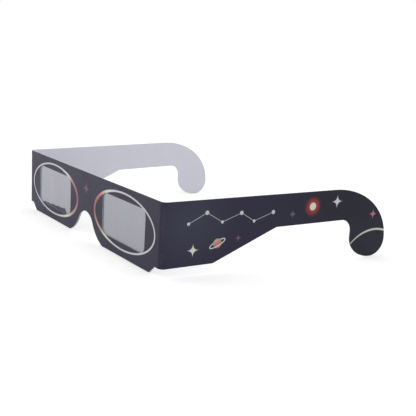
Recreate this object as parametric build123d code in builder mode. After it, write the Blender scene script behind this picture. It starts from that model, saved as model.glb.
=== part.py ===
from build123d import *
import math
import os

# Folding card eclipse glasses, in millimetres.
# The front stands in the XZ plane, the temples run towards +Y, and +Z is up.
# Left and right are the wearer's, who looks towards -Y, so left is at +X.
# The origin is the middle of the box round the object, at the lowest points of the ear hooks.

# Sheets
card = 0.45  # one ply of printed card
layer = 0.12  # filter film, or glue, between the two plies of the front

# Overall
front_width = 145.0  # from corner to corner, on the middle of the card
overall_height = 38.0  # lowest point of the hooks to the top edge
splay = 4.15  # degrees that each temple stands out from square to the front
crease_radius = 2.4  # bend of the card between front and temple, to the middle of the card

# Front
fold_rise = 3.4  # bottom fold of the front, above the lowest points of the hooks
end_rise = 4.1  # bottom edge beside each crease, above the bottom fold
relief_foot = 9.2  # end of the bottom fold, in from the corner
relief_head = 4.9  # top of the slanted cut above it, in from the corner
bridge_width = 36.1  # card between the two windows
window_end_gap = 13.95  # from each window to the corner beside it
window_foot_gap = 7.2  # card under each window, down to the bottom fold
window_top_gap = 6.4  # card over each window
window_radius = 3.5

# Nose notch, as half widths and heights above the bottom fold
notch_foot = 18.8
notch_waist = 7.8
notch_waist_rise = 9.4
notch_head_rise = 14.1

# Flap, film and glue between front and flap
flap_top_gap = 0.8  # top edge of the flap, below the top edge of the front
flap_end_gap = 4.0  # ends of the flap, in from the ends of the front panel
film_margin = 3.2  # film beyond each side of its window
glue_gap = 0.7  # glue kept back from a film or an edge

# Temple, along the card from the corner
temple_length = 137.4  # corner to the tip of the hook
root_length = 27.1  # straight bottom edge beside the front
taper_end = 62.8  # end of the slanted edge, where the bar starts
bar_height = 16.3
taper_round = 2.0
crown_length = 38.4  # curved top edge, back from the tip
tip_rise = 8.9  # foremost point of the hook, above its lowest point
heel_length = 9.4  # lowest point of the hook, back from the tip
hook_width = 25.7  # tip to the hook's inner edge
throat_radius = 6.5  # from the bar into the hook
throat_length = 2.8  # straight inner edge of the hook, under that round

# Worked out from the sizes above
half_turn = math.radians(90 - splay) / 2
tangent = crease_radius * math.tan(half_turn)  # corner to either end of the crease
panel_half = front_width / 2 - tangent
reach = temple_length * math.cos(math.radians(splay)) + card / 2 * math.sin(math.radians(splay))
front_y = (card / 2 - reach) / 2  # middle of the front ply
layer_y = front_y + card / 2
flap_y = layer_y + layer
end_z = fold_rise + end_rise
fold_radius = layer / 2 + card
panel_foot_z = fold_rise + fold_radius  # where the flat plies meet the bottom fold
flap_top_z = overall_height - flap_top_gap
flap_half = panel_half - flap_end_gap
window_width = (front_width - bridge_width) / 2 - window_end_gap
window_x = (bridge_width + window_width) / 2
window_height = overall_height - fold_rise - window_foot_gap - window_top_gap
window_z = fold_rise + window_foot_gap + window_height / 2
film_width = window_width + 2 * film_margin
film_height = window_height + 2 * film_margin
film_top_z = window_z + film_height / 2
film_inner = window_x - film_width / 2
film_outer = window_x + film_width / 2
sides = {"left": 1, "right": -1}

os.makedirs("parts", exist_ok=True)


def facing(y):
    """A plane at this y, seen from the front: its x is +X, its y is +Z and its back is +Y."""
    return Plane(origin=(0, y, 0), x_dir=(1, 0, 0), z_dir=(0, -1, 0))


def panel_face(half, top_z):
    """The face of a ply: slanted relief cuts beside the creases, two windows and the nose notch.

    The notch has a round head over two flanks that flare out to the bottom fold.
    """
    corner_x = front_width / 2
    slant_x = corner_x - relief_head
    foot_x = corner_x - relief_foot
    waist_z = fold_rise + notch_waist_rise
    head_rise = notch_head_rise - notch_waist_rise
    lean = math.asin(notch_waist / ((notch_waist**2 + head_rise**2) / (2 * head_rise)))
    with BuildSketch() as face:
        with BuildLine():
            Polyline((0, panel_foot_z), (0, top_z), (corner_x, top_z), (corner_x, end_z), (slant_x, end_z))
            Polyline((slant_x, end_z), (foot_x, panel_foot_z), (0, panel_foot_z))
        make_face()
        mirror(about=Plane.YZ)
        Rectangle(2 * half, 2 * top_z, mode=Mode.INTERSECT)
        with Locations((-window_x, window_z), (window_x, window_z)):
            RectangleRounded(window_width, window_height, window_radius, mode=Mode.SUBTRACT)
        with BuildLine():
            ThreePointArc((-notch_waist, waist_z), (0, fold_rise + notch_head_rise), (notch_waist, waist_z))
            TangentArc((notch_waist, waist_z), (notch_foot, fold_rise), tangent=(math.cos(lean), -math.sin(lean)))
            Line((notch_foot, fold_rise), (-notch_foot, fold_rise))
            TangentArc((-notch_waist, waist_z), (-notch_foot, fold_rise), tangent=(-math.cos(lean), -math.sin(lean)))
        make_face(mode=Mode.SUBTRACT)
    return face.sketch


# Front panel: the printed outer ply, with two windows and the nose notch
with BuildPart() as front_panel:
    with BuildSketch(facing(front_y - card / 2)):
        add(panel_face(panel_half, overall_height))
    extrude(amount=-card)
front_panel.part.label = "front_panel"
export_step(front_panel.part, "parts/front_panel.step")

# Back panel: the flap that folds up behind the front and holds the films in
with BuildPart() as back_panel:
    with BuildSketch(facing(flap_y)):
        add(panel_face(flap_half, flap_top_z))
    extrude(amount=-card)
back_panel.part.label = "back_panel"
export_step(back_panel.part, "parts/back_panel.step")

# Bottom folds: the card turned through half a circle under the front, on each side of the nose notch
for name, side in sides.items():
    fold_length = front_width / 2 - relief_foot - notch_foot
    fold_start = notch_foot if side > 0 else -notch_foot - fold_length
    with BuildPart() as bottom_fold:
        with BuildSketch(Plane.YZ.offset(fold_start)):
            with Locations((layer_y + layer / 2, panel_foot_z)):
                Circle(fold_radius)
                Circle(layer / 2, mode=Mode.SUBTRACT)
                Rectangle(2 * fold_radius, fold_radius, align=(Align.CENTER, Align.MIN), mode=Mode.SUBTRACT)
        extrude(amount=fold_length)
    bottom_fold.part.label = f"{name}_bottom_fold"
    export_step(bottom_fold.part, f"parts/{name}_bottom_fold.step")

# Filter films: one sheet behind each window, larger than the window all round
for name, side in sides.items():
    with BuildPart() as filter_film:
        with BuildSketch(facing(layer_y)):
            with Locations((side * window_x, window_z)):
                Rectangle(film_width, film_height)
        extrude(amount=-layer)
    filter_film.part.label = f"{name}_filter_film"
    export_step(filter_film.part, f"parts/{name}_filter_film.step")

# Glue: a band over the films, a patch on the bridge and a band at each end
glue_top_z = flap_top_z - glue_gap
glue_foot_z = film_top_z + glue_gap
with BuildPart() as top_glue_band:
    with BuildSketch(facing(layer_y)):
        with Locations((0, (glue_top_z + glue_foot_z) / 2)):
            Rectangle(2 * (flap_half - glue_gap), glue_top_z - glue_foot_z)
    extrude(amount=-layer)
top_glue_band.part.label = "top_glue_band"
export_step(top_glue_band.part, "parts/top_glue_band.step")

bridge_half = film_inner - glue_gap
bridge_foot_z = fold_rise + notch_head_rise + glue_gap
with BuildPart() as bridge_glue_patch:
    with BuildSketch(facing(layer_y)):
        with Locations((0, (bridge_foot_z + film_top_z) / 2)):
            Rectangle(2 * bridge_half, film_top_z - bridge_foot_z)
    extrude(amount=-layer)
bridge_glue_patch.part.label = "bridge_glue_patch"
export_step(bridge_glue_patch.part, "parts/bridge_glue_patch.step")

for name, side in sides.items():
    band_start = film_outer + glue_gap
    band_width = flap_half - glue_gap - band_start
    band_foot_z = end_z + glue_gap
    with BuildPart() as end_glue_band:
        with BuildSketch(facing(layer_y)):
            with Locations((side * (band_start + band_width / 2), (band_foot_z + film_top_z) / 2)):
                Rectangle(band_width, film_top_z - band_foot_z)
        extrude(amount=-layer)
    end_glue_band.part.label = f"{name}_end_glue_band"
    export_step(end_glue_band.part, f"parts/{name}_end_glue_band.step")

# Creases: the strip of card that bends where a temple folds
for name, side in sides.items():
    turn = 90 - splay
    centre = (side * panel_half, front_y + crease_radius)
    with BuildPart() as crease:
        with BuildSketch(Plane.XY.offset(end_z)):
            with BuildLine():
                inner = CenterArc(centre, crease_radius - card / 2, -90, side * turn)
                outer = CenterArc(centre, crease_radius + card / 2, -90, side * turn)
                Line(inner @ 0, outer @ 0)
                Line(inner @ 1, outer @ 1)
            make_face()
        extrude(amount=overall_height - end_z)
    crease.part.label = f"{name}_crease"
    export_step(crease.part, f"parts/{name}_crease.step")


def temple_face():
    """The side of a temple, with x along the card from the corner and y up."""
    bar_z = overall_height - bar_height
    crown_x = temple_length - crown_length
    heel_x = temple_length - heel_length
    inner_x = temple_length - hook_width
    throat_x = inner_x - throat_radius
    throat_z = bar_z - throat_radius - throat_length
    with BuildSketch() as face:
        with BuildLine():
            Polyline(
                (crown_x, overall_height),
                (tangent, overall_height),
                (tangent, end_z),
                (root_length, end_z),
                (taper_end, bar_z),
                (throat_x, bar_z),
            )
            RadiusArc((throat_x, bar_z), (inner_x, bar_z - throat_radius), throat_radius)
            Line((inner_x, bar_z - throat_radius), (inner_x, throat_z))
            EllipticalCenterArc((heel_x, throat_z), heel_x - inner_x, throat_z, 180, arc_size=90)
            EllipticalCenterArc((heel_x, tip_rise), heel_length, tip_rise, 270, arc_size=90)
            EllipticalCenterArc((crown_x, tip_rise), crown_length, overall_height - tip_rise, 0, arc_size=90)
        make_face()
        taper_ends = [v for v in face.vertices() if root_length <= v.X <= taper_end and v.Y < overall_height]
        fillet(taper_ends, taper_round)
    return face.sketch


# Temples: one ply of card each, with a deep root, a slanted bottom edge, a bar and an ear hook
for name, side in sides.items():
    along = (side * math.sin(math.radians(splay)), math.cos(math.radians(splay)), 0)
    across = (math.cos(math.radians(splay)), -side * math.sin(math.radians(splay)), 0)
    with BuildPart() as temple:
        with BuildSketch(Plane(origin=(side * front_width / 2, front_y, 0), x_dir=along, z_dir=across)):
            add(temple_face())
        extrude(amount=card / 2, both=True)
    temple.part.label = f"{name}_temple"
    export_step(temple.part, f"parts/{name}_temple.step")
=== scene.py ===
# %% [markdown]
# Folding card eclipse glasses. The real object is one printed card blank. Its lower flap is folded up
# behind the front, two sheets of filter film are glued between the plies, and the two temples are
# bent back at soft creases. Separate boxes would be quick to model, but the print would break at every
# fold. So this lesson draws the blank flat, as the printer does, and bends it with one formula.

# %% Load the frame
import math
from functools import partial

import bmesh
import bpy
from mathutils import Matrix, Vector, geometry, noise


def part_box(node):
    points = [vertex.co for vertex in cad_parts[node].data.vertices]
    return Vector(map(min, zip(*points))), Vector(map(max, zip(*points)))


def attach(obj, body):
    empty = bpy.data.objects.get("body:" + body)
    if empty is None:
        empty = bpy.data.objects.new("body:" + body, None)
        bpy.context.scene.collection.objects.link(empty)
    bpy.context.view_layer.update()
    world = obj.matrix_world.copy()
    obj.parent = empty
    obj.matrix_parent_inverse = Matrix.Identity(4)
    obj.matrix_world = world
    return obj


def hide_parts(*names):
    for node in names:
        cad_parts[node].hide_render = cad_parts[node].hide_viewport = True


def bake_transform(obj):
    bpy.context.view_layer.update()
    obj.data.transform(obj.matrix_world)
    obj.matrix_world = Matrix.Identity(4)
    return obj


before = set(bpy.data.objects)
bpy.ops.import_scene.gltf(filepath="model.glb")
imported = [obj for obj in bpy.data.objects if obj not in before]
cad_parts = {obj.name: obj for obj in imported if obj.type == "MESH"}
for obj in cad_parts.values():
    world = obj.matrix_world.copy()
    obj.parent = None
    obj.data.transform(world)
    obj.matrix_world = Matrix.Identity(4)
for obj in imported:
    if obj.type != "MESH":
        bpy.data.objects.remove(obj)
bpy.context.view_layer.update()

# %% [markdown]
# Sizes. The plies, films and bends already exist as plain solids in the frame. Their sizes could be
# typed again, but a typed size drifts from the solid. So they are read from the boxes of the solids,
# and only what a box can't show, such as an angle or a radius, is repeated here.

# %% Sizes
MM = 0.001
SIDES = ((1, "left"), (-1, "right"))
panel_low, panel_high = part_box("front_panel")
film_low, film_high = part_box("left_filter_film")
flap_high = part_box("back_panel")[1]
fold_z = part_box("left_bottom_fold")[0].z
end_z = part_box("left_crease")[0].z

card = panel_high.y - panel_low.y
layer = film_high.y - film_low.y
front_y = (panel_low.y + panel_high.y) / 2
panel_half = panel_high.x
top_z = panel_high.z
foot_z = panel_low.z
window_x = (film_low.x + film_high.x) / 2
window_z = (film_low.z + film_high.z) / 2

SPLAY = math.radians(4.15)
TURN = math.pi / 2 - SPLAY
CREASE_RADIUS = 2.4 * MM
crease_length = CREASE_RADIUS * TURN
crease_end = panel_half + crease_length
tangent = CREASE_RADIUS * math.tan(TURN / 2)
corner_x = panel_half + tangent
corner_u = crease_end - tangent
print("card, film and crease strip, mm:", [round(size / MM, 2) for size in (card, layer, crease_length)])

# %% [markdown]
# Bending the blank. A point of the flat blank has a place u along it, counted from the nose, and a
# height z. An armature or a bend modifier could fold it, but the path is simple enough to write down:
# straight along the front, round a short arc, and straight on along the temple. Real card is never
# quite flat, so it gets a slow wave of at most a tenth of a millimetre, which fades out at the creases.

# %% The blank in space
WAVE = 0.10 * MM
WAVE_PITCH = 34.0 * MM
WAVE_FADE = 14.0 * MM
LEFT_WAVE, RIGHT_WAVE = 4.0, 9.0


def smooth(x):
    """0 up to x = 0, 1 from x = 1, and an even curve between them."""
    x = min(max(x, 0.0), 1.0)
    return x * x * (3 - 2 * x)


def wave(u, z):
    """How far the card stands out of its plane here."""
    away = abs(abs(u) - (panel_half + crease_length / 2)) - crease_length / 2
    spot = Vector((u / WAVE_PITCH, z / WAVE_PITCH, LEFT_WAVE if u > 0 else RIGHT_WAVE))
    return WAVE * noise.noise(spot) * smooth(away / WAVE_FADE)


def on_card(u, z, out=0.0):
    """The frame's place for a point of the blank; out is counted towards the printed side."""
    side = 1 if u >= 0 else -1
    run = abs(u) - panel_half
    out = out + wave(u, z)
    if run <= 0:
        return Vector((u, front_y - out, z))
    angle = min(run / CREASE_RADIUS, TURN)
    beyond = run - CREASE_RADIUS * angle
    x = panel_half + (CREASE_RADIUS + out) * math.sin(angle) + beyond * math.cos(TURN)
    y = front_y + CREASE_RADIUS - (CREASE_RADIUS + out) * math.cos(angle) + beyond * math.sin(TURN)
    return Vector((side * x, y, z))


def plain_layout(u, z, out):
    """The print lies where the card does."""
    return Vector((u, z, out))


print("left temple starts at, mm:", [round(place / MM, 2) for place in on_card(crease_end, end_z)])

# %% [markdown]
# Outlines. A cutting die has straight edges, arcs and parts of ovals. Curve objects could draw them,
# but the outline is needed as points, to fill it and to lay the print on it. So a few helpers sample
# each stretch closely enough that no corner shows. The card is always on the left of the path.

# %% Stretches of an outline
SAME_PLACE = 1e-7


def oval_arc(centre, semi_u, semi_z, start, end, steps):
    """Points on an oval from one angle to another, in degrees."""
    angles = [math.radians(start + (end - start) * i / steps) for i in range(steps + 1)]
    return [(centre[0] + semi_u * math.cos(a), centre[1] + semi_z * math.sin(a)) for a in angles]


def tangent_arc(start, end, direction, steps):
    """Points on the arc that leaves start in this direction and ends at end."""
    start, end, direction = Vector(start), Vector(end), Vector(direction).normalized()
    chord = end - start
    normal = Vector((-direction.y, direction.x))
    centre = start + normal * (chord.length_squared / (2 * chord.dot(normal)))
    spoke = start - centre
    sweep = spoke.angle_signed(end - centre)
    return [tuple(centre + Matrix.Rotation(-sweep * i / steps, 2) @ spoke) for i in range(steps + 1)]


def round_corner(before, corner, after, radius, steps=5):
    """The corner of a straight-edged outline as an arc that touches both edges."""
    corner = Vector(corner)
    to_before = (Vector(before) - corner).normalized()
    to_after = (Vector(after) - corner).normalized()
    setback = radius / math.tan(to_before.angle(to_after) / 2)
    return tangent_arc(corner + to_before * setback, corner + to_after * setback, -to_before, steps)


def close_points(points, pitch):
    """The same closed outline with steps of about one pitch at most."""
    dense = []
    for start, end in zip(points, points[1:] + points[:1]):
        length = math.dist(start, end)
        if length > SAME_PLACE:
            steps = max(1, round(length / pitch))
            dense += [tuple(Vector(start).lerp(Vector(end), i / steps)) for i in range(steps)]
    return dense


def for_side(side, points):
    """The outline as it is for the left, and mirrored with the card still on its left for the right."""
    return points if side > 0 else [(-u, z) for u, z in reversed(points)]


quarter = oval_arc((0, 0), 1, 1, 0, 90, 6)
off = 1 - (Vector(quarter[0]) + Vector(quarter[1])).length / 2
print("a quarter circle in 6 steps is off by", round(off, 4), "of its radius")

# %% [markdown]
# Filling an outline. A flat face could be one big polygon, but that can neither bend nor ripple. So
# the outline is triangulated with a loose grid of points inside it. The rim is moved in a little
# first, to leave room for the softened edge.

# %% Triangles inside an outline
SEAM_SNAP = 1e-6
MITRE_LIMIT = 0.5
GRID_CLEARANCE = 0.4
FILL_TOLERANCE = 1e-9


def inset(loop, amount, seams):
    """The loop moved into the card, but never off a seam, where the next piece goes on."""
    moved = []
    count = len(loop)
    for i, point in enumerate(loop):
        here = Vector(point)
        back, ahead = Vector(loop[i - 1]), Vector(loop[(i + 1) % count])
        n1 = (here - back).normalized().orthogonal()
        n2 = (ahead - here).normalized().orthogonal()
        middle = (n1 + n2).normalized()
        new = here + middle * (amount / max(middle.dot(n1), MITRE_LIMIT))
        for axis, place in seams:
            if abs(point[axis] - place) < SEAM_SNAP:
                new[axis] = place
        moved.append(tuple(new))
    return moved


def inside(point, loop):
    """Whether a ray from the point crosses the loop an odd number of times."""
    hit = False
    for (x1, y1), (x2, y2) in zip(loop, loop[1:] + loop[:1]):
        if (y1 > point[1]) != (y2 > point[1]):
            if point[0] < (x2 - x1) * (point[1] - y1) / (y2 - y1) + x1:
                hit = not hit
    return hit


def in_card(point, loops):
    """Whether the point is inside the first loop and in none of the openings."""
    return inside(point, loops[0]) and not any(inside(point, opening) for opening in loops[1:])


def grid_points(loops, grid):
    """Points of a loose grid in the card, kept clear of its edges."""
    us, zs = zip(*loops[0])
    low_u, high_u, low_z, high_z = min(us), max(us), min(zs), max(zs)
    columns, rows = int((high_u - low_u) / grid[0]), int((high_z - low_z) / grid[1])
    points = []
    for i in range(1, columns):
        for j in range(1, rows):
            spot = (low_u + (high_u - low_u) * i / columns, low_z + (high_z - low_z) * j / rows)
            if in_card(spot, loops):
                gap = min(math.dist(spot, p) for loop in loops for p in loop)
                if gap > GRID_CLEARANCE * min(grid):
                    points.append(Vector(spot))
    return points


def triangulate(loops, grid):
    """Points, triangles, and where each point of the loops went."""
    points = [Vector(p) for loop in loops for p in loop]
    edges = []
    for loop in loops:
        start = len(edges)
        edges += [(start + i, start + (i + 1) % len(loop)) for i in range(len(loop))]
    filled = geometry.delaunay_2d_cdt(points + grid_points(loops, grid), edges, [], 0, FILL_TOLERANCE)
    new_points, _, triangles, origins = filled[:4]
    middles = [sum((new_points[i] for i in triangle), Vector((0, 0))) / 3 for triangle in triangles]
    kept = [triangle for triangle, middle in zip(triangles, middles) if in_card(middle, loops)]
    index = {old: new for new, olds in enumerate(origins) for old in olds}
    return [tuple(p) for p in new_points], kept, index


strip = close_points([(0, 0), (20, 0), (20, 8), (0, 8)], 2)
print("a strip of 20 x 8 mm takes", len(triangulate([strip], (4, 4))[1]), "triangles")

# %% [markdown]
# From outline to card. Real card has a printed face, a bare face and a cut edge that the die leaves
# slightly rounded. A solidify modifier would give razor edges and no print layout. So the filled
# outline is laid down twice, as the two faces, and a rim with softened edges joins them. Each vertex
# keeps its place on the blank in an attribute, and the print follows that through every bend.

# %% A closed sheet of card
EDGE_ROUND = 0.07 * MM
PRINTED_FACE, CUT_EDGE, INNER_FACE = 0, 1, 2


def add_object(name, data):
    """An object for this data, in the scene."""
    new = bpy.data.objects.new(name, data)
    bpy.context.scene.collection.objects.link(new)
    return new


def add_piece(name, bm, finishes):
    """An object with these faces, every normal outwards, and its finishes in order."""
    mesh = bpy.data.meshes.new(name)
    bmesh.ops.recalc_face_normals(bm, faces=bm.faces)
    bm.to_mesh(mesh)
    bm.free()
    for finish in finishes:
        mesh.materials.append(finish)
    print(name, len(mesh.vertices), "vertices")
    return add_object(name, mesh)


def add_face(bm, corners, finish, smooth=True):
    """A face of this finish."""
    new = bm.faces.new(corners)
    new.material_index = finish
    new.smooth = smooth


def card_piece(
    name, loops, grid, finishes, seams=(), high=card / 2, low=-card / 2, place=on_card, layout=plain_layout
):
    """A closed sheet between the offsets low and high, which are those of a ply unless they are given."""
    spots, triangles, index = triangulate([inset(loop, EDGE_ROUND, seams) for loop in loops], grid)
    bm = bmesh.new()
    blank = bm.verts.layers.float_vector.new("blank")

    def vertex(spot, out):
        new = bm.verts.new(place(spot[0], spot[1], out))
        new[blank] = layout(spot[0], spot[1], out)
        return new

    fronts = [vertex(spot, high) for spot in spots]
    backs = [vertex(spot, low) for spot in spots]
    for a, b, c in triangles:
        add_face(bm, (fronts[a], fronts[b], fronts[c]), PRINTED_FACE)
        add_face(bm, (backs[c], backs[b], backs[a]), INNER_FACE)
    start = 0
    for loop in loops:
        count = len(loop)
        ring = [index[start + i] for i in range(count)]
        upper = [vertex(spot, high - EDGE_ROUND) for spot in loop]
        lower = [vertex(spot, low + EDGE_ROUND) for spot in loop]
        for i in range(count):
            j = (i + 1) % count
            add_face(bm, (fronts[ring[j]], fronts[ring[i]], upper[i], upper[j]), PRINTED_FACE)
            add_face(bm, (upper[j], upper[i], lower[i], lower[j]), CUT_EDGE)
            add_face(bm, (lower[j], lower[i], backs[ring[i]], backs[ring[j]]), INNER_FACE)
            bm.edges.get((fronts[ring[i]], fronts[ring[j]])).smooth = False
            bm.edges.get((backs[ring[i]], backs[ring[j]])).smooth = False
        start += count
    return add_piece(name, bm, finishes)


print("softened edge, mm:", EDGE_ROUND / MM, "of", round(card / MM, 2))

# %% [markdown]
# Drawing in a material. The print could be a picture wrapped round the card, but a computed print is
# sharp at any distance and needs no file. It is worked out from the place on the blank, in
# millimetres. These helpers add a node or two beside the output that they are given, so that a
# motif reads like a sum.

# %% Node helpers
def feed(socket, value):
    """Gives an input its value: a number, a tuple or the output of another node."""
    if isinstance(value, bpy.types.NodeSocket):
        socket.id_data.links.new(value, socket)
    else:
        socket.default_value = value


def add_node(tree, kind, values, **settings):
    """A shader node of this kind, with its settings and the values of its inputs."""
    node = tree.nodes.new("ShaderNode" + kind)
    for name, setting in settings.items():
        setattr(node, name, setting)
    for label, value in values.items():
        feed(node.inputs[label], value)
    return node


def calc(operation, *values):
    """One math node. At least one value is the output of a node, and the new one joins its tree."""
    tree = next(value.id_data for value in values if isinstance(value, bpy.types.NodeSocket))
    return add_node(tree, "Math", dict(enumerate(values)), operation=operation).outputs[0]


OPERATIONS = ("ADD", "SUBTRACT", "MULTIPLY", "DIVIDE")
add, subtract, multiply, divide = (partial(calc, operation) for operation in OPERATIONS)


def hypotenuse(a, b):
    """The root of a squared plus b squared."""
    return calc("SQRT", add(multiply(a, a), multiply(b, b)))


def ramp_up(value, low, high):
    """0 below low, 1 above high and smooth between; low may be the larger."""
    values = {"Value": value, "From Min": low, "From Max": high}
    return add_node(value.id_data, "MapRange", values, interpolation_type="SMOOTHSTEP").outputs["Result"]


def split(vector):
    """The x, y and z of a vector."""
    return add_node(vector.id_data, "SeparateXYZ", {0: vector}).outputs


print("node helpers for Blender", bpy.app.version_string)

# %% [markdown]
# Motifs as node groups. The card carries ovals, discs, stars and strokes of many sizes. Each could be
# drawn again wherever it is needed, but a group is built once and placed with its own numbers. A
# group gives only masks, so the ink is still chosen in the material.

# %% Group helpers
def new_group(name, numbers, outputs):
    """A group with a Place vector and these named numbers, and number outputs."""
    tree = bpy.data.node_groups.new(name, "ShaderNodeTree")
    tree.interface.new_socket("Place", in_out="INPUT", socket_type="NodeSocketVector")
    for label in numbers:
        tree.interface.new_socket(label, in_out="INPUT", socket_type="NodeSocketFloat")
    for label in outputs:
        tree.interface.new_socket(label, in_out="OUTPUT", socket_type="NodeSocketFloat")
    source = tree.nodes.new("NodeGroupInput")
    sink = tree.nodes.new("NodeGroupOutput")
    print("group:", name, numbers, "to", outputs)
    return tree, source.outputs, sink.inputs


def from_point(given, u="CentreU", z="CentreZ"):
    """How far the place is from the point that these two numbers of a group give."""
    place = split(given["Place"])
    return subtract(place[0], given[u]), subtract(place[1], given[z])


def use_group(group, place, **numbers):
    """Puts a group beside the place that it is given, with its numbers, and returns its outputs."""
    return add_node(place.id_data, "Group", {"Place": place, **numbers}, node_tree=group).outputs


# %% [markdown]
# The oval line. The windows are framed by a line of even width, but a squeezed circle would be
# thinner where it is squeezed. So the distance from the oval is divided by how fast it grows there.

# %% The oval line
LINE_BLUR = 0.12
NASAL_RANGE = (-0.1, -0.95)


def oval_line_group():
    """The line round an oval. It is wider at the end nearer to the nose, by Swell."""
    numbers = ("CentreU", "CentreZ", "SemiU", "SemiZ", "HalfWidth", "Swell")
    tree, given, result = new_group("oval line", numbers, ("Mask", "Nasal"))
    u, z = from_point(given)
    p, q = divide(u, given["SemiU"]), divide(z, given["SemiZ"])
    reach = hypotenuse(p, q)
    slope_u = divide(p, multiply(given["SemiU"], reach))
    slope_z = divide(q, multiply(given["SemiZ"], reach))
    off = calc("ABSOLUTE", divide(subtract(reach, 1.0), hypotenuse(slope_u, slope_z)))
    nasal = ramp_up(divide(p, reach), *NASAL_RANGE)
    width = add(given["HalfWidth"], multiply(given["Swell"], nasal))
    feed(result["Mask"], ramp_up(subtract(off, width), LINE_BLUR, -LINE_BLUR))
    feed(result["Nasal"], nasal)
    return tree


oval_line = oval_line_group()

# %% [markdown]
# Disc, star and stroke. Small motifs could be meshes, but they would float over the card like
# stickers. Here each is a distance, cut off softly over a tenth of a millimetre, as ink ends on card.

# %% Disc, star and stroke
DISC_BLUR, STAR_BLUR, STROKE_BLUR = 0.15, 0.06, 0.1


def disc_group():
    """A disc, and a glow that fades to nothing at GlowRadius."""
    numbers = ("CentreU", "CentreZ", "Radius", "GlowRadius")
    tree, given, result = new_group("disc", numbers, ("Mask", "Glow"))
    reach = hypotenuse(*from_point(given))
    spread = subtract(given["GlowRadius"], given["Radius"])
    fade = divide(subtract(given["GlowRadius"], reach), spread)
    feed(result["Mask"], ramp_up(subtract(reach, given["Radius"]), DISC_BLUR, -DISC_BLUR))
    feed(result["Glow"], ramp_up(fade, 0.0, 1.0))
    return tree


def star_group():
    """A star with four points, the curve where the roots of the two distances add up to one."""
    tree, given, result = new_group("star", ("CentreU", "CentreZ", "Radius"), ("Mask",))
    offs = [calc("ABSOLUTE", off) for off in from_point(given)]
    roots = [calc("SQRT", divide(off, given["Radius"])) for off in offs]
    feed(result["Mask"], ramp_up(add(*roots), 1 + STAR_BLUR, 1 - STAR_BLUR))
    return tree


def stroke_group():
    """A straight stroke with round ends, between two points."""
    numbers = ("StartU", "StartZ", "EndU", "EndZ", "HalfWidth")
    tree, given, result = new_group("stroke", numbers, ("Mask",))
    run_u = subtract(given["EndU"], given["StartU"])
    run_z = subtract(given["EndZ"], given["StartZ"])
    u, z = from_point(given, "StartU", "StartZ")
    along = add(multiply(u, run_u), multiply(z, run_z))
    length = add(multiply(run_u, run_u), multiply(run_z, run_z))
    share = calc("MINIMUM", calc("MAXIMUM", divide(along, length), 0.0), 1.0)
    off_u = subtract(u, multiply(run_u, share))
    off_z = subtract(z, multiply(run_z, share))
    off = subtract(hypotenuse(off_u, off_z), given["HalfWidth"])
    feed(result["Mask"], ramp_up(off, STROKE_BLUR, -STROKE_BLUR))
    return tree


disc = disc_group()
star = star_group()
stroke = stroke_group()

# %% [markdown]
# Card grain. Ink on card is never quite even: it is cloudy over centimetres and broken by fibres over
# tenths of a millimetre. One noise alone looks like fog or like sand, so three are mixed. The printed
# side, the bare side and the cut edge all use this group, each at its own depth.

# %% Card grain
# Each noise has its waves per millimetre, its detail and, where it isn't even, its stretch.
CLOUDY, FIBRES, SPECKLE = (0.08, 3.0), (2.2, 4.0, (1, 0.35, 1)), (6.0, 2.0)
CLOUDY_SHARE, FIBRES_SHARE, SPECKLE_SHARE = 0.6, 0.4, 0.5


def noise_on(place, waves, detail, stretch=(1, 1, 1)):
    """Noise of a place in millimetres."""
    tree = place.id_data
    scaled = add_node(tree, "Mapping", {"Vector": place, "Scale": [waves * s for s in stretch]})
    values = {"Vector": scaled.outputs[0], "Scale": 1.0, "Detail": detail}
    return add_node(tree, "TexNoise", values).outputs["Fac"]


def grain_group():
    """Uneven ink and card fibres: Tone is about 1, and Height is for a bump."""
    tree, given, result = new_group("card grain", ("Depth",), ("Tone", "Height"))
    cloudy, fibres, speckle = [noise_on(given["Place"], *kind) for kind in (CLOUDY, FIBRES, SPECKLE)]
    shares = multiply(cloudy, CLOUDY_SHARE), multiply(fibres, FIBRES_SHARE)
    swing = multiply(subtract(add(*shares), 0.5), given["Depth"])
    height = add(fibres, multiply(speckle, SPECKLE_SHARE))
    feed(result["Tone"], add(swing, 1.0))
    feed(result["Height"], height)
    return tree


card_grain = grain_group()

# %% [markdown]
# Steps that every finish shares. Each material could be built from nothing, but the card's finishes
# differ only in colour, roughness and relief. Both halves of the blank carry the same print, so the
# place on the blank is also given mirrored to the left-hand half.

# %% Material helpers
CLOUD_RANGE = (0.35, 0.65)


def mix_colour(factor, below, above):
    """The colour below at factor 0, and the one above at factor 1."""
    ends = [(*end, 1) if isinstance(end, tuple) else end for end in (below, above)]
    # Inputs 6 and 7 and output 2 of a mix node are the ones for colours.
    return add_node(factor.id_data, "Mix", {0: factor, 6: ends[0], 7: ends[1]}, data_type="RGBA").outputs[2]


def clouds_on(place, kind):
    """Noise of this kind, spread out between 0 and 1."""
    return ramp_up(noise_on(place, *kind), *CLOUD_RANGE)


def new_material(name, roughness, metallic=0.0):
    """A material whose own shader has these plain values."""
    material = bpy.data.materials.new(name)
    material.use_nodes = True
    tree = material.node_tree
    shader = tree.nodes["Principled BSDF"]
    feed(shader.inputs["Roughness"], roughness)
    feed(shader.inputs["Metallic"], metallic)
    print("material:", name)
    return material, tree, shader


def blank_place(tree):
    """The place on the blank in millimetres, as it is and mirrored to the left-hand half."""
    blank = add_node(tree, "Attribute", {}, attribute_name="blank").outputs["Vector"]
    place = add_node(tree, "VectorMath", {0: blank, "Scale": 1 / MM}, operation="SCALE").outputs[0]
    u, z, _ = split(place)
    return place, add_node(tree, "CombineXYZ", {0: calc("ABSOLUTE", u), 1: z}).outputs[0]


def add_bump(shader, height, distance, strength):
    """A bump of this height on the shader's normal."""
    values = {"Height": height, "Distance": distance, "Strength": strength}
    feed(shader.inputs["Normal"], add_node(shader.id_data, "Bump", values).outputs[0])


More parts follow.
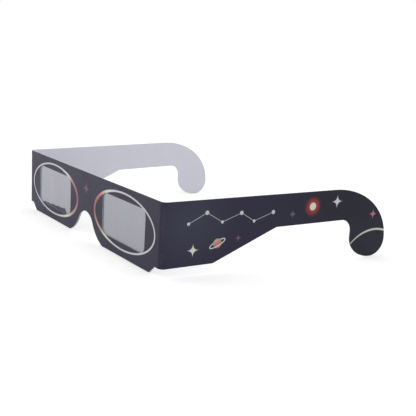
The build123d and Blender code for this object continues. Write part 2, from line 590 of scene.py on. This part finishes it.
# %% [markdown]
# Inks. The printed side is a dark blue-black ink, more purple in some places and blacker towards the
# hooks, with pale and warm inks on it. They could be picked by eye on a screen, but Blender's colours
# are linear, and a linear colour looks darker as numbers than it does on the card.

# %% Inks and places of the print
INK = (0.009, 0.009, 0.032)
INK_PURPLE = (0.015, 0.011, 0.032)
INK_BLACK = (0.002, 0.0015, 0.013)
ROOT_TINT = (0.030, 0.031, 0.058)
CREAM = (0.67, 0.68, 0.60)
SALMON = (0.44, 0.17, 0.15)
ROSE = (0.33, 0.12, 0.16)
ORANGE = (0.50, 0.32, 0.24)
GLOW = (0.33, 0.035, 0.025)
DIM = (0.13, 0.08, 0.10)
PALE = (0.60, 0.60, 0.625)
STRIPE = (0.58, 0.60, 0.51)
STRIPE_GREY = (0.38, 0.39, 0.40)
SCUFF = (0.16, 0.16, 0.18)

fold_mm = fold_z / MM
window_mm = window_x / MM
corner_mm = corner_u / MM
crease_mm = (panel_half + crease_length / 2) / MM


def from_corner(u, rise):
    """Where a motif stands, in millimetres behind the corner and over the bottom fold."""
    return {"CentreU": corner_mm + u, "CentreZ": fold_mm + rise}


print("window and corner, mm from the nose:", round(window_mm, 2), round(corner_mm, 2))

# %% [markdown]
# Window lines. Each window stands in a thin oval line: white on the side of the temple, cream further
# in, and warm and wider beside the nose. Two curves of different width could be filled between, but
# one oval line with a swell never breaks.

# %% Window lines
WINDOW_LINE = dict(
    CentreU=window_mm, CentreZ=fold_mm + 17.75, SemiU=28.6, SemiZ=13.8, HalfWidth=0.44, Swell=0.40,
)
CREAM_RANGE, WARM_RANGE = (0.05, 0.45), (0.60, 0.95)
SALMON_RISE, ORANGE_DROP = 9.0, 10.0


def printed_rings(mirrored, colour):
    """The oval line round each window: white, cream nearer to the nose, and warm beside it."""
    line = use_group(oval_line, mirrored, **WINDOW_LINE)
    z = split(mirrored)[1]
    middle_z = WINDOW_LINE["CentreZ"]
    upper = mix_colour(ramp_up(z, middle_z, middle_z + SALMON_RISE), ROSE, SALMON)
    warm = mix_colour(ramp_up(z, middle_z - ORANGE_DROP, middle_z), ORANGE, upper)
    pale = mix_colour(ramp_up(line["Nasal"], *CREAM_RANGE), PALE, CREAM)
    ring = mix_colour(ramp_up(line["Nasal"], *WARM_RANGE), pale, warm)
    return mix_colour(line["Mask"], colour, ring)


print("window line, mm wide:", 2 * WINDOW_LINE["HalfWidth"])

# %% [markdown]
# A plain night sky. The temples carry small motifs that only have to look lively from arm's length.
# A scattered texture would put some of them half off the card. So their places are listed, in
# millimetres from the corner and over the bottom fold, and nothing crosses an edge or a crease.

# %% Stars and linked dots
# Behind the corner, over the fold, radius and ink. The first star is on the bridge of the nose.
STARS = [
    (-corner_mm, 26.0, 4.0, DIM), (16.0, 11.5, 3.4, CREAM), (72.0, 24.0, 2.6, DIM),
    (100.5, 28.5, 3.8, PALE), (127.0, 20.0, 3.0, SALMON), (40.5, 15.0, 2.2, DIM),
]
DOTS = [(13.0, 24.0), (22.5, 28.5), (31.0, 23.5), (41.5, 27.0), (49.0, 22.5), (60.0, 26.0)]
DOT_RADII = (0.75, 1.0)
LINK_HALF_WIDTH, LINK_STRENGTH = 0.14, 0.7


def printed_stars(mirrored, colour):
    """Stars with four points."""
    for u, rise, radius, ink in STARS:
        point = use_group(star, mirrored, Radius=radius, **from_corner(u, rise))
        colour = mix_colour(point["Mask"], colour, ink)
    return colour


def printed_dots(mirrored, colour):
    """A string of dots, small and large in turn, linked by thin lines."""
    for (u1, rise1), (u2, rise2) in zip(DOTS, DOTS[1:]):
        link = use_group(
            stroke, mirrored, StartU=corner_mm + u1, StartZ=fold_mm + rise1,
            EndU=corner_mm + u2, EndZ=fold_mm + rise2, HalfWidth=LINK_HALF_WIDTH,
        )
        colour = mix_colour(multiply(link["Mask"], LINK_STRENGTH), colour, PALE)
    for i, (u, rise) in enumerate(DOTS):
        dot = use_group(disc, mirrored, Radius=DOT_RADII[i % 2], **from_corner(u, rise))
        colour = mix_colour(dot["Mask"], colour, PALE)
    return colour


print(len(STARS), "stars and", len(DOTS), "dots on each half")

# %% Sun and planet
SUN = dict(from_corner(84.5, 27.0), Radius=2.0, GlowRadius=5.6)
PLANET = from_corner(29.0, 13.5)
PLANET_TILT = math.radians(24)
GLOBE_RADIUS = 2.3
PLANET_RING = dict(SemiU=4.4, SemiZ=1.2, HalfWidth=0.24)
BAND_RANGE, BEHIND_RANGE = (-1.2, 1.6), (-0.1, 0.1)


def printed_sun(mirrored, colour):
    """A cream disc in a red glow."""
    sun = use_group(disc, mirrored, **SUN)
    colour = mix_colour(sun["Glow"], colour, GLOW)
    return mix_colour(sun["Mask"], colour, CREAM)


def printed_planet(mirrored, colour):
    """A banded disc with a tilted ring, which passes in front of it below and behind it above."""
    centre = (PLANET["CentreU"], PLANET["CentreZ"], 0)
    values = {"Vector": mirrored, "Location": centre, "Rotation": (0, 0, PLANET_TILT)}
    turned = add_node(mirrored.id_data, "Mapping", values, vector_type="TEXTURE").outputs[0]
    globe = use_group(disc, turned, Radius=GLOBE_RADIUS)
    ring = use_group(oval_line, turned, **PLANET_RING)
    height = split(turned)[1]
    bands = mix_colour(ramp_up(height, *BAND_RANGE), SALMON, ORANGE)
    colour = mix_colour(globe["Mask"], colour, bands)
    behind = multiply(globe["Mask"], ramp_up(height, *BEHIND_RANGE))
    shown = multiply(ring["Mask"], subtract(1.0, behind))
    return mix_colour(shown, colour, CREAM)


print("planet ring, mm long:", 2 * PLANET_RING["SemiU"])

# %% [markdown]
# Ground, stripe and wear. A thin pale stripe, an arc of a large circle, crosses each hook. Where the
# card has been creased the ink has cracked into fine upright flecks. A painted texture would repeat
# them, but a stretched noise doesn't.

# %% Ground ink, hook stripe and scuffs
BLACK_RANGE = (corner_mm + 45, corner_mm + 110)
TEMPLE_RANGE = (crease_mm - 1, crease_mm + 1)
TEMPLE_ROOT_TINT = dict(from_corner(14.0, 24.0), Radius=0, GlowRadius=30.0)
HOOK_LINE = dict(from_corner(129.5, -12.8), SemiU=24.2, SemiZ=24.2, HalfWidth=0.55, Swell=-0.26)
FLECKS, PATCHES = (7.0, 5.0, (1, 0.22, 1)), (0.12, 2.0)
FLECK_RANGE = (0.42, 0.78)
SCUFF_REACH, SCUFF_STRENGTH = 1.3, 0.5


def ground_ink(mirrored, clouds):
    """The dark ground: purple in places, black at the hook, and lighter on the temple's root."""
    u = split(mirrored)[0]
    plain = mix_colour(clouds, INK, INK_PURPLE)
    colour = mix_colour(ramp_up(u, *BLACK_RANGE), plain, INK_BLACK)
    root_tint = use_group(disc, mirrored, **TEMPLE_ROOT_TINT)
    shown = multiply(root_tint["Glow"], ramp_up(u, *TEMPLE_RANGE))
    return mix_colour(shown, colour, ROOT_TINT)


def hook_stripe(mirrored, colour):
    """The arc across each hook, thinner and greyer at its end towards the nose."""
    line = use_group(oval_line, mirrored, **HOOK_LINE)
    return mix_colour(line["Mask"], colour, mix_colour(line["Nasal"], STRIPE, STRIPE_GREY))


def crease_scuff(mirrored, place, colour):
    """Fine flecks along each crease, where the ink has cracked."""
    off = calc("ABSOLUTE", subtract(split(mirrored)[0], crease_mm))
    near = ramp_up(off, SCUFF_REACH, 0.0)
    flecks = ramp_up(noise_on(place, *FLECKS), *FLECK_RANGE)
    worn = multiply(multiply(near, flecks), clouds_on(place, PATCHES))
    return mix_colour(multiply(worn, SCUFF_STRENGTH), colour, SCUFF)


print("hook stripe, radius in mm:", HOOK_LINE["SemiU"])

# %% [markdown]
# The printed side. Real ink lies on satin-coated card: each colour covers the one below, and the whole
# has a little sheen. Every motif could be a material of its own, but then the layers couldn't overlap.
# So each takes the colour so far and gives it back with its own ink on top.

# %% The printed side
INK_CLOUDS = (0.05, 2.0)
INK_SHINE, INK_GRAIN = 0.28, 0.5
INK_ROUGHNESS, INK_ROUGHNESS_SWING = 0.46, 0.08


def printed_card():
    """Every layer of the print, one over the other, on satin card."""
    material, tree, shader = new_material("printed card", INK_ROUGHNESS)
    feed(shader.inputs["Specular IOR Level"], INK_SHINE)
    place, mirrored = blank_place(tree)
    grain = use_group(card_grain, place, Depth=INK_GRAIN)
    clouds = clouds_on(place, INK_CLOUDS)
    colour = ground_ink(mirrored, clouds)
    for draw in (printed_rings, printed_stars, printed_dots, printed_sun, printed_planet, hook_stripe):
        colour = draw(mirrored, colour)
    colour = crease_scuff(mirrored, place, colour)
    toned = add_node(tree, "VectorMath", {0: colour, "Scale": grain["Tone"]}, operation="SCALE")
    feed(shader.inputs["Base Color"], toned.outputs[0])
    feed(shader.inputs["Roughness"], add(multiply(clouds, INK_ROUGHNESS_SWING), INK_ROUGHNESS))
    add_bump(shader, grain["Height"], distance=0.02 * MM, strength=0.35)
    return material


printed = printed_card()

# %% [markdown]
# Bare card. The inner face and the cut edge are white board, which looks slightly blue beside the dark
# ink. A flat white would read as plastic, so the grain group gives both a slow change of tone and a
# faint bump. The cut edge has painted shade in its colour, which makes it darker, and it is more
# uneven, because its fibres are torn.

# %% Inner face and cut edge
BARE_ROUGHNESS = 0.78


def bare_card(name, light, shade, depth):
    """White board that changes slowly between two tones."""
    material, tree, shader = new_material(name, BARE_ROUGHNESS)
    place, _ = blank_place(tree)
    grain = use_group(card_grain, place, Depth=depth)
    spread = ramp_up(grain["Tone"], 1 - depth / 2, 1 + depth / 2)
    feed(shader.inputs["Base Color"], mix_colour(spread, shade, light))
    add_bump(shader, grain["Height"], distance=0.03 * MM, strength=0.5)
    return material


inner_face = bare_card("inner face", light=(0.74, 0.74, 0.83), shade=(0.69, 0.69, 0.77), depth=0.2)
# Painted shade: both tones of the cut edge are darker than white board.
shaded_cut_edge = bare_card("cut edge", light=(0.56, 0.56, 0.62), shade=(0.38, 0.38, 0.43), depth=0.5)
card_finishes = (printed, shaded_cut_edge, inner_face)

# %% [markdown]
# Filter film. The film is metal-coated plastic: a dull grey mirror, slightly blue here and lavender
# there, with upright streaks from the roll. Clear glass would show the wearer's side, which real film
# doesn't. Behind the right eye's window the film is crinkled along its lower edge. The fold isn't in
# the mesh: its shade and dark reflection are painted into the film's colour as a dark band.

# %% Film material
FILM_BLUE, FILM_LAVENDER = (0.31, 0.33, 0.345), (0.325, 0.315, 0.36)
FILM_STREAK, STREAK_STRENGTH = (0.37, 0.375, 0.40), 0.35
# Painted shade: the colour of the crinkle's shade and dark reflection.
FILM_PAINTED_SHADE = (0.03, 0.03, 0.05)
FILM_METALLIC = 0.85
FILM_ROUGHNESS, FILM_ROUGHNESS_SWING = 0.26, 0.10
STREAKS, SWELLS, TINTS = (0.9, 3.0, (1, 0.06, 1)), (0.16, 2.0, (1, 0.1, 1)), (0.07, 1.0)
CRINKLES, CRINKLE_HEIGHT = (0.28, 1.5, (1, 0, 1)), 2.2
CRINKLE_START, CRINKLE_RISE, CRINKLE_SLOPE = -58.5, 6.3, 0.062
CRINKLE_END, END_LENGTH, END_DROP = -21.0, 5.0, 4.0
RIGHT_EYE_RANGE = (-17.0, -18.0)
CRINKLE_BLUR = 0.12


def crinkle_painted_shade(place):
    """The painted shade of the crinkle: its wavy upper edge climbs towards the nose and drops away at its
    end.
    """
    u, z, _ = split(place)
    waves = multiply(noise_on(place, *CRINKLES), CRINKLE_HEIGHT)
    over = subtract(z, fold_mm + CRINKLE_RISE)
    climb = multiply(subtract(u, CRINKLE_START), CRINKLE_SLOPE)
    drop = multiply(ramp_up(u, CRINKLE_END - END_LENGTH, CRINKLE_END), END_DROP)
    over = subtract(subtract(over, climb), waves)
    dark = ramp_up(add(over, drop), CRINKLE_BLUR, -CRINKLE_BLUR)
    return multiply(dark, ramp_up(u, *RIGHT_EYE_RANGE))


def film_material():
    """Metal-coated film: faint upright streaks, and a crinkle's shade painted dark along the right eye's
    lower edge.
    """
    material, tree, shader = new_material("filter film", FILM_ROUGHNESS, FILM_METALLIC)
    place, _ = blank_place(tree)
    streaks = noise_on(place, *STREAKS)
    swells = noise_on(place, *SWELLS)
    colour = mix_colour(clouds_on(place, TINTS), FILM_BLUE, FILM_LAVENDER)
    colour = mix_colour(multiply(streaks, STREAK_STRENGTH), colour, FILM_STREAK)
    # Painted shade: the crinkle's dark band goes into the film's colour.
    colour = mix_colour(crinkle_painted_shade(place), colour, FILM_PAINTED_SHADE)
    feed(shader.inputs["Base Color"], colour)
    feed(shader.inputs["Roughness"], add(multiply(streaks, FILM_ROUGHNESS_SWING), FILM_ROUGHNESS))
    add_bump(shader, add(streaks, swells), distance=0.02 * MM, strength=0.2)
    return material


film_finish = film_material()

# %% [markdown]
# Glue. The glue lies sealed between the plies and shows only when the card is cut open, so the plain
# solids are kept as they are. They still get a dried white finish with lumps of about a millimetre.

# %% Glue
GLUE_ROUGHNESS, GLUE_WAVES_PER_METRE = 0.35, 900
GLUE_DULL, GLUE_WHITE = (0.62, 0.60, 0.54), (0.80, 0.79, 0.74)


def glue_material():
    """Dried white glue, slightly lumpy."""
    material, tree, shader = new_material("dried glue", GLUE_ROUGHNESS)
    place = add_node(tree, "TexCoord", {}).outputs["Object"]
    lumps = add_node(tree, "TexNoise", {"Vector": place, "Scale": GLUE_WAVES_PER_METRE}).outputs["Fac"]
    feed(shader.inputs["Base Color"], mix_colour(lumps, GLUE_DULL, GLUE_WHITE))
    add_bump(shader, lumps, distance=0.03 * MM, strength=0.5)
    return material


glue_finish = glue_material()
for node in ("top_glue_band", "bridge_glue_patch", "left_end_glue_band", "right_end_glue_band"):
    glue_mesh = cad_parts[node].data
    glue_mesh.materials.clear()
    glue_mesh.materials.append(glue_finish)

# %% [markdown]
# Front and flap. Both plies are cut with the same die: two round-cornered windows and a nose notch
# whose round head runs into flanks that flare out to the bottom fold. Cutting them out with booleans
# would leave ragged shading, so they are part of the outline. The front ply stops a little short of
# the crease on a seam, and the crease strip starts there.

# %% Outline of a ply
LAP = 0.4 * MM
NOTCH_FOOT, NOTCH_WAIST = 18.8 * MM, 7.8 * MM
NOTCH_WAIST_RISE, NOTCH_HEAD_RISE = 9.4 * MM, 14.1 * MM
RELIEF_FOOT, RELIEF_HEAD = 9.2 * MM, 4.9 * MM
WINDOW_RADIUS, FILM_MARGIN = 3.5 * MM, 3.2 * MM
PITCH = 1.5 * MM
window_half_u = (film_high.x - film_low.x) / 2 - FILM_MARGIN
window_half_z = (film_high.z - film_low.z) / 2 - FILM_MARGIN


def notch_flank():
    """From the top of the notch down its left-eye flank to where the ply ends."""
    waist_z, head_z = fold_z + NOTCH_WAIST_RISE, fold_z + NOTCH_HEAD_RISE
    head = tangent_arc((0, head_z), (NOTCH_WAIST, waist_z), (1, 0), 10)
    spoke = (NOTCH_WAIST**2 + (head_z - waist_z) ** 2) / (2 * (head_z - waist_z))
    lean = math.asin(NOTCH_WAIST / spoke)
    flare = tangent_arc((NOTCH_WAIST, waist_z), (NOTCH_FOOT, fold_z), (math.cos(lean), -math.sin(lean)), 16)
    above = [p for p in flare if p[1] > foot_z]
    last, below = above[-1], flare[len(above)]
    share = (last[1] - foot_z) / (last[1] - below[1])
    return head[:-1] + above + [(last[0] + share * (below[0] - last[0]), foot_z)]


def window_loop(side):
    """The opening of one window, clockwise, with round corners."""
    half_u, half_z = window_half_u - WINDOW_RADIUS, window_half_z - WINDOW_RADIUS
    window = []
    for sign_u, sign_z, start in ((1, 1, 90), (1, -1, 0), (-1, -1, -90), (-1, 1, -180)):
        centre = (side * window_x + sign_u * half_u, window_z + sign_z * half_z)
        window += oval_arc(centre, WINDOW_RADIUS, WINDOW_RADIUS, start, start - 90, 6)
    return close_points(window, PITCH)


def panel_loops(half, high_z):
    """The outline of a ply, counter-clockwise, and its two windows."""
    slant_u, foot_u = corner_x - RELIEF_HEAD, corner_x - RELIEF_FOOT
    right = notch_flank() + [(foot_u, foot_z)]
    if half > slant_u:
        right += [(slant_u, end_z), (half, end_z)]
    else:
        right.append((half, foot_z + (end_z - foot_z) * (half - foot_u) / (slant_u - foot_u)))
    right.append((half, high_z))
    outline = close_points(right + for_side(-1, right)[:-1], PITCH)
    return [outline, window_loop(1), window_loop(-1)]


print("window, mm:", round(2 * window_half_u / MM, 2), "x", round(2 * window_half_z / MM, 2))

# %% Front panel
CARD_GRID = (4 * MM, 4 * MM)

front_seams = ((0, panel_half - LAP), (0, LAP - panel_half), (1, foot_z))
front = card_piece("front_card", panel_loops(panel_half - LAP, top_z), CARD_GRID, card_finishes, front_seams)
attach(front, "front")
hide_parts("front_panel")


# %% Flap
def flap_layout(u, z, out):
    """The flap is printed below the fold line, so it is laid out upside down there."""
    return Vector((u, 2 * fold_z - z, out))


flap = card_piece(
    "back_flap_card", panel_loops(flap_high.x, flap_high.z), CARD_GRID, (inner_face, shaded_cut_edge, printed),
    ((1, foot_z),), high=-card / 2 - layer, low=-1.5 * card - layer, layout=flap_layout,
)
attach(flap, "front")
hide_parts("back_panel")

# %% [markdown]
# Bottom folds. Under the front the card turns through half a circle and becomes the flap, on each
# side of the notch. A bevelled box would do from afar, but its square ends would stick out of the
# notch. So the strip is a loft of that half circle, whose ends follow the notch and the relief cut.

# %% Bottom folds
FOLD_STEPS, FOLD_COLUMNS = 10, 24


def fold_section(bm, blank, side, share):
    """One half circle of the fold, outside and then inside, at this share of its length."""
    flank_end = notch_flank()[-1][0]
    relief_slope = (RELIEF_FOOT - RELIEF_HEAD) / (end_z - foot_z)
    centre_y = front_y + card / 2 + layer / 2
    section = []
    for radius in (layer / 2 + card, layer / 2):
        for step in range(FOLD_STEPS + 1):
            angle = math.pi * step / FOLD_STEPS
            drop = radius * math.sin(angle)
            start = flank_end + (NOTCH_FOOT - flank_end) * drop / (foot_z - fold_z)
            end = corner_x - RELIEF_FOOT - relief_slope * drop
            u = side * (start + (end - start) * share)
            z = foot_z - drop
            vertex = bm.verts.new((u, centre_y - radius * math.cos(angle) - wave(u, z), z))
            vertex[blank] = Vector((u, foot_z - (layer / 2 + card) * angle, 0))
            section.append(vertex)
    return section


def fold_piece(side, name):
    """The half circles joined up, and closed along both edges and at both ends."""
    bm = bmesh.new()
    blank = bm.verts.layers.float_vector.new("blank")
    sections = [fold_section(bm, blank, side, i / FOLD_COLUMNS) for i in range(FOLD_COLUMNS + 1)]
    across = FOLD_STEPS + 1
    for one, two in zip(sections, sections[1:]):
        for step in range(FOLD_STEPS):
            for a, finish in ((step, PRINTED_FACE), (across + step, INNER_FACE)):
                add_face(bm, (one[a], one[a + 1], two[a + 1], two[a]), finish)
        for a, b in ((0, across), (across - 1, 2 * across - 1)):
            add_face(bm, (one[a], one[b], two[b], two[a]), CUT_EDGE, smooth=False)
    for end in (sections[0], sections[-1]):
        for step in range(FOLD_STEPS):
            corners = (end[step], end[step + 1], end[across + step + 1], end[across + step])
            add_face(bm, corners, CUT_EDGE, smooth=False)
    for edge in bm.edges:
        if len({face.material_index for face in edge.link_faces}) > 1:
            edge.smooth = False
    return add_piece(name, bm, card_finishes)


for side, name in SIDES:
    fold = fold_piece(side, f"{name}_bottom_fold_card")
    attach(fold, "front")
    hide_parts(f"{name}_bottom_fold")

# %% [markdown]
# Filter films. The film is thin and springy. It lies flat where the plies hold it and ripples a
# little in the open window, which gives its reflection the soft upright streaks. A bump alone would
# leave the sheet itself flat, so the ripple is in the mesh, on a finer grid than the card's.

# %% Filter films
RIPPLE = 0.10 * MM
RIPPLE_FADE = 2.5 * MM
# Width and height of the ridges, row of the noise, and strength.
RIDGES = ((9 * MM, 40 * MM, 2.0, 1.6), (3.2 * MM, 26 * MM, 7.0, 0.5))
FILM_GRID = (0.9 * MM, 1.6 * MM)
film_out = -(card + layer) / 2


def film_ripple(u, z):
    """Zero under the card, and slow upright ridges in the open window."""
    from_side = window_half_u - abs(abs(u) - window_x)
    from_end = window_half_z - abs(z - window_z)
    free = smooth(min(from_side, from_end) / RIPPLE_FADE)
    ridges = [s * noise.noise(Vector((u / width, z / height, row))) for width, height, row, s in RIDGES]
    return free * RIPPLE * sum(ridges)


def on_film(u, z, out):
    """The frame's place for a point of a film."""
    return on_card(u, z, out + film_ripple(u, z))


film_corners = [
    (film_low.x, film_low.z), (film_high.x, film_low.z),
    (film_high.x, film_high.z), (film_low.x, film_high.z),
]
for side, name in SIDES:
    film = card_piece(
        f"{name}_filter_sheet", [close_points(for_side(side, film_corners), PITCH)], FILM_GRID,
        (film_finish,) * 3, high=film_out + layer / 2, low=film_out - layer / 2, place=on_film,
    )
    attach(film, "front")
    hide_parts(f"{name}_filter_film")

# %% [markdown]
# Temples and creases. Each temple is one flat ply: a deep root, a slanted lower edge, a bar and the
# ear hook, whose outer edge is a quarter of an oval. The crease could be part of the temple, but it
# has to bend when the temple folds. So it is a strip of its own.

# %% Outline of a temple
ROOT_LENGTH, TAPER_END, TAPER_ROUND = 27.1 * MM, 62.8 * MM, 2.0 * MM
TEMPLE_LENGTH, CROWN_LENGTH, HEEL_LENGTH, HOOK_WIDTH = 137.4 * MM, 38.4 * MM, 9.4 * MM, 25.7 * MM
BAR_HEIGHT, TIP_RISE, THROAT_RADIUS, THROAT_LENGTH = 16.3 * MM, 8.9 * MM, 6.5 * MM, 2.8 * MM
CREASE_PITCH = 0.25 * MM
CREASE_GRID = (CREASE_PITCH, 2 * MM)


def temple_loop(side):
    """The temple on the blank, counter-clockwise, from its seam with the crease to the hook."""
    bar_z = top_z - BAR_HEIGHT
    inner, heel = TEMPLE_LENGTH - HOOK_WIDTH, TEMPLE_LENGTH - HEEL_LENGTH
    crown = TEMPLE_LENGTH - CROWN_LENGTH
    throat_z = bar_z - THROAT_RADIUS - THROAT_LENGTH
    seam, root, taper = (tangent + LAP, end_z), (ROOT_LENGTH, end_z), (TAPER_END, bar_z)
    throat = (inner - THROAT_RADIUS, bar_z)
    path = [seam]
    path += round_corner(seam, root, taper, TAPER_ROUND)
    path += round_corner(root, taper, throat, TAPER_ROUND)
    path += tangent_arc(throat, (inner, bar_z - THROAT_RADIUS), (1, 0), 10)
    path += oval_arc((heel, throat_z), heel - inner, throat_z, 180, 270, 16)
    path += oval_arc((heel, TIP_RISE), HEEL_LENGTH, TIP_RISE, 270, 360, 12)[1:]
    path += oval_arc((crown, TIP_RISE), CROWN_LENGTH, top_z - TIP_RISE, 0, 90, 28)[1:]
    path.append((tangent + LAP, top_z))
    return close_points(for_side(side, [(corner_u + u, z) for u, z in path]), PITCH)


def crease_loop(side):
    """The crease strip on the blank, with its lap onto the front and onto the temple."""
    low, high = panel_half - LAP, crease_end + LAP
    corners = [(low, end_z), (high, end_z), (high, top_z), (low, top_z)]
    return close_points(for_side(side, corners), CREASE_PITCH)


print("blank length, mm:", round(2 * (corner_u + TEMPLE_LENGTH) / MM, 1))

# %% Temples and creases
for side, name in SIDES:
    seam_u = side * (crease_end + LAP)
    temple = card_piece(f"{name}_temple_card", [temple_loop(side)], CARD_GRID, card_finishes, ((0, seam_u),))
    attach(temple, f"{name}_temple")
    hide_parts(f"{name}_temple")

    crease = card_piece(
        f"{name}_crease_card", [crease_loop(side)], CREASE_GRID, card_finishes,
        ((0, side * (panel_half - LAP)), (0, seam_u)),
    )
    start, end = on_card(side * panel_half, end_z), on_card(side * crease_end, end_z)
    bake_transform(crease)
    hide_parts(f"{name}_crease")

# %% [markdown]
# Floor. The glasses stand on the front's bottom fold and on the tips of the two hooks, which hang
# lower. Turning the object would move it off its frame, so the floor is tilted by the degree and a
# half between them. It is lifted to white where it is seen, but never as a light on the object, and
# it still takes a shadow.

# %% White ground
# Corners of the floor, in metres.
FLOOR = ((-3, -3), (3, -3), (3, 3), (-3, 3))
WHITE = (1, 1, 1, 1)
GROUND, GROUND_ROUGHNESS = (0.58, 0.58, 0.59, 1), 0.9
LIFT = {"From Min": 0.2, "From Max": 1.4, "To Min": 0.50, "To Max": 0.66}
hook_y = front_y + (TEMPLE_LENGTH - HEEL_LENGTH) * math.cos(SPLAY)
floor_slope = -fold_z / (hook_y - front_y)


def seen_rays(tree):
    """1 for rays of the camera, of reflections and through clear things, and 0 for lighting."""
    path = add_node(tree, "LightPath", {}).outputs
    seen = add(path["Is Camera Ray"], path["Is Glossy Ray"])
    return calc("MINIMUM", add(seen, path["Is Transmission Ray"]), 1.0)


def white_ground():
    """A matt floor, lifted to white where it is seen, and a little more far from the object."""
    material, tree, shader = new_material("white ground", GROUND_ROUGHNESS)
    feed(shader.inputs["Base Color"], GROUND)
    feed(shader.inputs["Specular IOR Level"], 0.0)
    feed(shader.inputs["Emission Color"], WHITE)
    place = add_node(tree, "TexCoord", {}).outputs["Object"]
    distance = add_node(tree, "VectorMath", {0: place}, operation="LENGTH").outputs["Value"]
    lift = add_node(tree, "MapRange", {"Value": distance, **LIFT}).outputs["Result"]
    feed(shader.inputs["Emission Strength"], multiply(seen_rays(tree), lift))
    return material


floor_mesh = bpy.data.meshes.new("floor")
floor_mesh.from_pydata([(x, y, fold_z + floor_slope * (y - front_y)) for x, y in FLOOR], [], [(0, 1, 2, 3)])
floor_mesh.materials.append(white_ground())
floor = add_object("floor", floor_mesh)
print("floor tilt, degrees:", round(math.degrees(math.atan(floor_slope)), 2))

# %% [markdown]
# Light. A product photo on white has soft light from all round and one larger softbox. A picture of a
# studio could light the scene, but an even white world and three large lamps do the same with nothing
# to load. The world is brighter to the eye than it is as a light, so that the card doesn't clip.

# %% World and lamps
WORLD_LIGHT, WORLD_LIFT = 0.75, 0.25
# Name, place in metres, watts, and side of the square in metres.
LAMPS = (
    ("front_key", (-0.95, -0.8, 0.42), 6.0, 0.9),
    ("side_fill", (1.1, -0.2, 0.6), 2.0, 0.9),
    ("top", (0.0, 0.2, 1.2), 3.0, 1.0),
)

scene = bpy.context.scene
scene.view_settings.view_transform = "Standard"
world = bpy.data.worlds.new("studio")
scene.world = world
world.use_nodes = True
studio = world.node_tree
sky = studio.nodes["Background"]
feed(sky.inputs["Color"], WHITE)
lift = multiply(seen_rays(studio), WORLD_LIFT)
feed(sky.inputs["Strength"], add(lift, WORLD_LIGHT))

for name, place, power, size in LAMPS:
    data = bpy.data.lights.new(name, "AREA")
    data.energy = power
    data.size = size
    lamp = add_object(name, data)
    lamp.location = place
    lamp.rotation_euler = (-Vector(place)).to_track_quat("-Z", "Y").to_euler()
    print("lamp:", name, power, "W")

# %% [markdown]
# Camera. The photo looks down on the wearer's left temple from close by, so its perspective is
# strong, and the near hook looks much larger than the far one. A track constraint could aim the
# camera but not roll it. So it is turned by its three angles at the target and then moved back.

# %% Camera
AZIMUTH, ELEVATION, ROLL = math.radians(52.92), math.radians(13.27), math.radians(3.73)
DISTANCE = 381.3 * MM
TARGET = Vector((22.03 * MM, front_y + 62.14 * MM, fold_z + 15.21 * MM))
LENS, SENSOR = 60.58, 36.0

camera_data = bpy.data.cameras.new("camera")
camera_data.lens = LENS
camera_data.sensor_width = SENSOR
camera = add_object("camera", camera_data)
aim = Matrix.Rotation(AZIMUTH, 4, "Z") @ Matrix.Rotation(math.pi / 2 - ELEVATION, 4, "X")
aim = aim @ Matrix.Rotation(ROLL, 4, "Z")
camera.matrix_world = Matrix.Translation(TARGET) @ aim @ Matrix.Translation((0, 0, DISTANCE))
scene.camera = camera
print("camera, mm:", [round(place / MM, 1) for place in camera.matrix_world.translation])

# %% [markdown]
# The dressed pieces must fill the same box as the solids that they stand for, which a look can't
# show to a tenth of a millimetre. Here the scene is only brought up to date.

bpy.context.view_layer.update()
